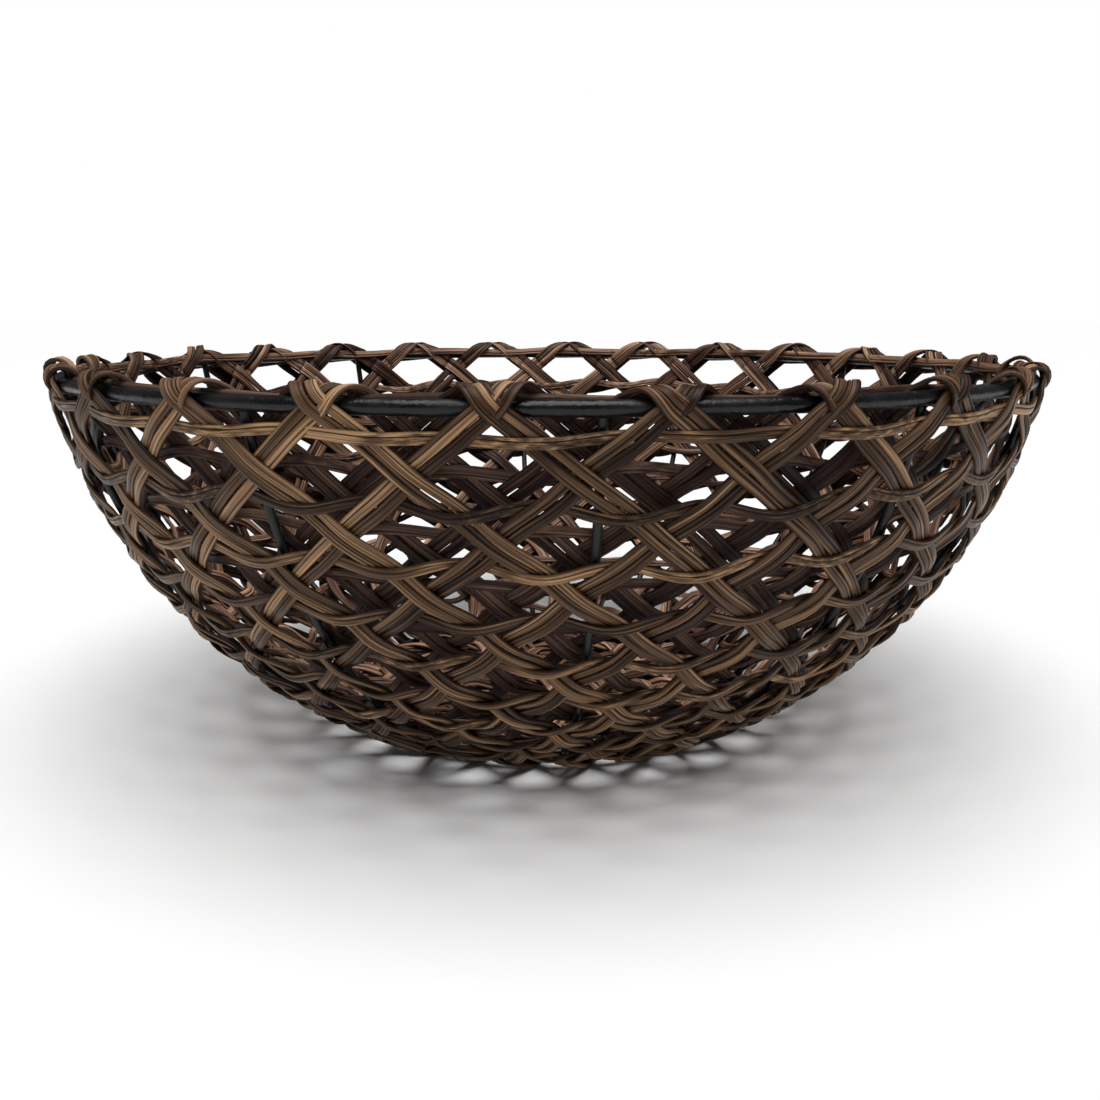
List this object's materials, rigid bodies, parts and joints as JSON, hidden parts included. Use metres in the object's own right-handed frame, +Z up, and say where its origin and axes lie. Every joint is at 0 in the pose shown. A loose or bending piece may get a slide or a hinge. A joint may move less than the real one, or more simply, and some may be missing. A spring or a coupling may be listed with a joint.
{
  "type": "fruit basket",
  "caption": "Shallow round fruit basket: open three-way woven cane in two layers over a ribbed iron wire bowl frame, lashed over a black iron rim rod; it rests on a flat woven base.",
  "frame": {"origin": "middle of the flat face that the basket rests on", "axes": "+Z up through the bowl's mouth, +X to the right seen from the front, -Y towards the front, where the outer weave sits lowest"},
  "size_m": [0.4129, 0.4128, 0.1573],
  "materials": {
    "rim_iron": "black paint over iron rod, semi-gloss with brush marks, worn where the cane rubs",
    "frame_iron": "black painted iron wire, satin",
    "cane_outer": "stained and lacquered cane, golden brown with dark grooves along the grain, satin",
    "cane_inner": "stained cane, reddish brown, drier and duller than the outside",
    "cane_lashing": "stained and lacquered cane bent over the rim, satin with dark creases"
  },
  "bodies": {
    "root": {"rim_ring": "rim_iron", "base_ring": "frame_iron", "rib_01": "frame_iron", "rib_02": "frame_iron", "rib_03": "frame_iron", "rib_04": "frame_iron", "rib_05": "frame_iron", "rib_06": "frame_iron", "rib_07": "frame_iron", "rib_08": "frame_iron", "rib_09": "frame_iron", "rib_10": "frame_iron", "rib_11": "frame_iron", "rib_12": "frame_iron", "outer_rim_cane": "cane_outer", "inner_rim_cane": "cane_inner", "outer_hoop_01": "cane_outer", "outer_hoop_02": "cane_outer", "outer_hoop_03": "cane_outer", "outer_hoop_04": "cane_outer", "outer_hoop_05": "cane_outer", "outer_hoop_06": "cane_outer", "outer_hoop_07": "cane_outer", "outer_hoop_08": "cane_outer", "inner_hoop_01": "cane_inner", "inner_hoop_02": "cane_inner", "inner_hoop_03": "cane_inner", "inner_hoop_04": "cane_inner", "inner_hoop_05": "cane_inner", "inner_hoop_06": "cane_inner", "inner_hoop_07": "cane_inner", "inner_hoop_08": "cane_inner", "inner_hoop_09": "cane_inner", "outer_strands_right_upper": "cane_outer", "outer_strands_right_lower": "cane_outer", "outer_strands_left_upper": "cane_outer", "outer_strands_left_lower": "cane_outer", "inner_strands_right_upper": "cane_inner", "inner_strands_right_lower": "cane_inner", "inner_strands_left_upper": "cane_inner", "inner_strands_left_lower": "cane_inner", "rim_lashings_right": "cane_lashing", "rim_lashings_left": "cane_lashing", "outer_base_strands_a": "cane_outer", "outer_base_strands_b": "cane_outer", "outer_base_strands_c": "cane_outer", "inner_base_strands_a": "cane_inner", "inner_base_strands_b": "cane_inner", "inner_base_strands_c": "cane_inner"}
  },
  "joints": []
}
